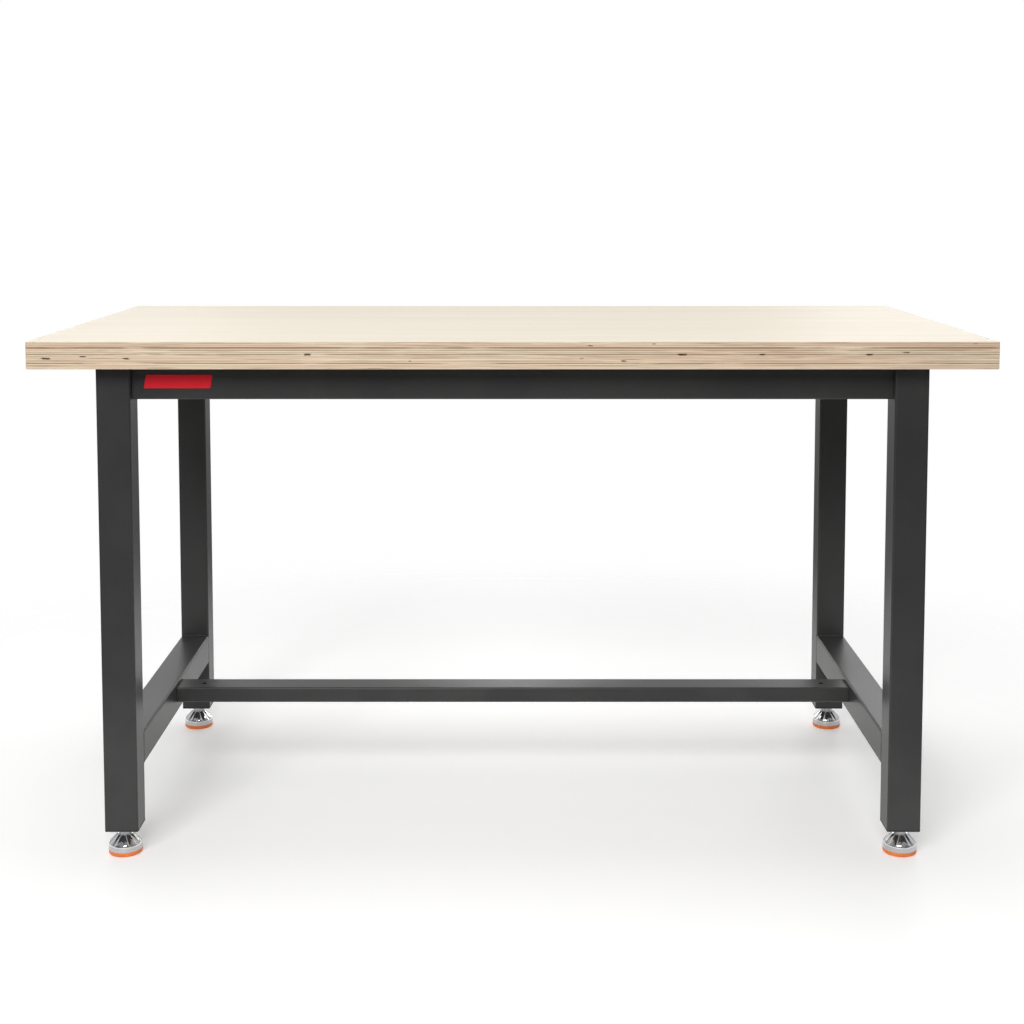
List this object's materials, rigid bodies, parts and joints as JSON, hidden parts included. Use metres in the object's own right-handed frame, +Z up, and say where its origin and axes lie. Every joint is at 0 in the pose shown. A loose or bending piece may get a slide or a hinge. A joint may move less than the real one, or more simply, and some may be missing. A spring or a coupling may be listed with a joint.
{
  "type": "workbench",
  "caption": "Free-standing workshop bench: thick plywood worktop on a dark square-tube frame with a low stretcher and screw-adjustable levelling feet.",
  "frame": {"origin": "on the floor, under the middle of the worktop", "axes": "+Z up, +X along the bench to the user's right, -Y towards the user at the front"},
  "size_m": [1.4, 0.7, 0.78],
  "materials": {
    "plywood": "fine sanded, clear sealed",
    "powder_coat": "fine-textured satin powder coat",
    "zinc_steel": "bright zinc",
    "black_oxide": "blackened, oiled",
    "black_plastic": "matt moulded",
    "chrome": "polished plating",
    "orange_sole": "satin elastomer"
  },
  "bodies": {
    "frame": {"worktop": "plywood", "front_left_leg": "powder_coat", "front_right_leg": "powder_coat", "rear_left_leg": "powder_coat", "rear_right_leg": "powder_coat", "left_upper_rail": "powder_coat", "right_upper_rail": "powder_coat", "left_lower_rail": "powder_coat", "right_lower_rail": "powder_coat", "front_apron": "powder_coat", "rear_apron": "powder_coat", "lower_stretcher": "powder_coat", "front_left_apron_tongue": "powder_coat", "rear_left_apron_tongue": "powder_coat", "front_right_apron_tongue": "powder_coat", "rear_right_apron_tongue": "powder_coat", "left_stretcher_tongue": "powder_coat", "right_stretcher_tongue": "powder_coat", "apron_bolts": "zinc_steel", "stretcher_set_screws": "black_oxide", "weld_nuts": "zinc_steel", "worktop_screws": "zinc_steel", "front_left_leg_insert": "black_plastic", "front_right_leg_insert": "black_plastic", "rear_left_leg_insert": "black_plastic", "rear_right_leg_insert": "black_plastic", "front_left_thread_bush": "zinc_steel", "front_right_thread_bush": "zinc_steel", "rear_left_thread_bush": "zinc_steel", "rear_right_thread_bush": "zinc_steel"},
    "front_left_foot": {"front_left_foot_cup": "chrome", "front_left_foot_sole": "orange_sole"},
    "front_left_stud": {"front_left_levelling_stud": "zinc_steel"},
    "front_left_nut": {"front_left_lock_nut": "zinc_steel"},
    "front_right_foot": {"front_right_foot_cup": "chrome", "front_right_foot_sole": "orange_sole"},
    "front_right_stud": {"front_right_levelling_stud": "zinc_steel"},
    "front_right_nut": {"front_right_lock_nut": "zinc_steel"},
    "rear_left_foot": {"rear_left_foot_cup": "chrome", "rear_left_foot_sole": "orange_sole"},
    "rear_left_stud": {"rear_left_levelling_stud": "zinc_steel"},
    "rear_left_nut": {"rear_left_lock_nut": "zinc_steel"},
    "rear_right_foot": {"rear_right_foot_cup": "chrome", "rear_right_foot_sole": "orange_sole"},
    "rear_right_stud": {"rear_right_levelling_stud": "zinc_steel"},
    "rear_right_nut": {"rear_right_lock_nut": "zinc_steel"}
  },
  "joints": [
    {"name": "front_left_foot_lift", "type": "slide", "parent": "frame", "child": "front_left_foot", "axis": [0, 0, -1], "range_m": [0, 0.03]},
    {"name": "front_left_stud_turn", "type": "hinge", "parent": "front_left_foot", "child": "front_left_stud", "pos_m": [-0.585, -0.2875, 0.0315], "axis": [0, 0, -1], "range_deg": [0, 6172]},
    {"name": "front_left_lock_nut_turn", "type": "hinge", "parent": "frame", "child": "front_left_nut", "pos_m": [-0.585, -0.2875, 0.037], "axis": [0, 0, -1], "range_deg": [0, 90]},
    {"name": "front_right_foot_lift", "type": "slide", "parent": "frame", "child": "front_right_foot", "axis": [0, 0, -1], "range_m": [0, 0.03]},
    {"name": "front_right_stud_turn", "type": "hinge", "parent": "front_right_foot", "child": "front_right_stud", "pos_m": [0.585, -0.2875, 0.0315], "axis": [0, 0, -1], "range_deg": [0, 6172]},
    {"name": "front_right_lock_nut_turn", "type": "hinge", "parent": "frame", "child": "front_right_nut", "pos_m": [0.585, -0.2875, 0.037], "axis": [0, 0, -1], "range_deg": [0, 90]},
    {"name": "rear_left_foot_lift", "type": "slide", "parent": "frame", "child": "rear_left_foot", "axis": [0, 0, -1], "range_m": [0, 0.03]},
    {"name": "rear_left_stud_turn", "type": "hinge", "parent": "rear_left_foot", "child": "rear_left_stud", "pos_m": [-0.585, 0.2875, 0.0315], "axis": [0, 0, -1], "range_deg": [0, 6172]},
    {"name": "rear_left_lock_nut_turn", "type": "hinge", "parent": "frame", "child": "rear_left_nut", "pos_m": [-0.585, 0.2875, 0.037], "axis": [0, 0, -1], "range_deg": [0, 90]},
    {"name": "rear_right_foot_lift", "type": "slide", "parent": "frame", "child": "rear_right_foot", "axis": [0, 0, -1], "range_m": [0, 0.03]},
    {"name": "rear_right_stud_turn", "type": "hinge", "parent": "rear_right_foot", "child": "rear_right_stud", "pos_m": [0.585, 0.2875, 0.0315], "axis": [0, 0, -1], "range_deg": [0, 6172]},
    {"name": "rear_right_lock_nut_turn", "type": "hinge", "parent": "frame", "child": "rear_right_nut", "pos_m": [0.585, 0.2875, 0.037], "axis": [0, 0, -1], "range_deg": [0, 90]}
  ],
  "couplings": [
    {"joint": "front_left_stud_turn", "follows": "front_left_foot_lift", "rad_per_m": 3590.4},
    {"joint": "front_right_stud_turn", "follows": "front_right_foot_lift", "rad_per_m": 3590.4},
    {"joint": "rear_left_stud_turn", "follows": "rear_left_foot_lift", "rad_per_m": 3590.4},
    {"joint": "rear_right_stud_turn", "follows": "rear_right_foot_lift", "rad_per_m": 3590.4}
  ]
}
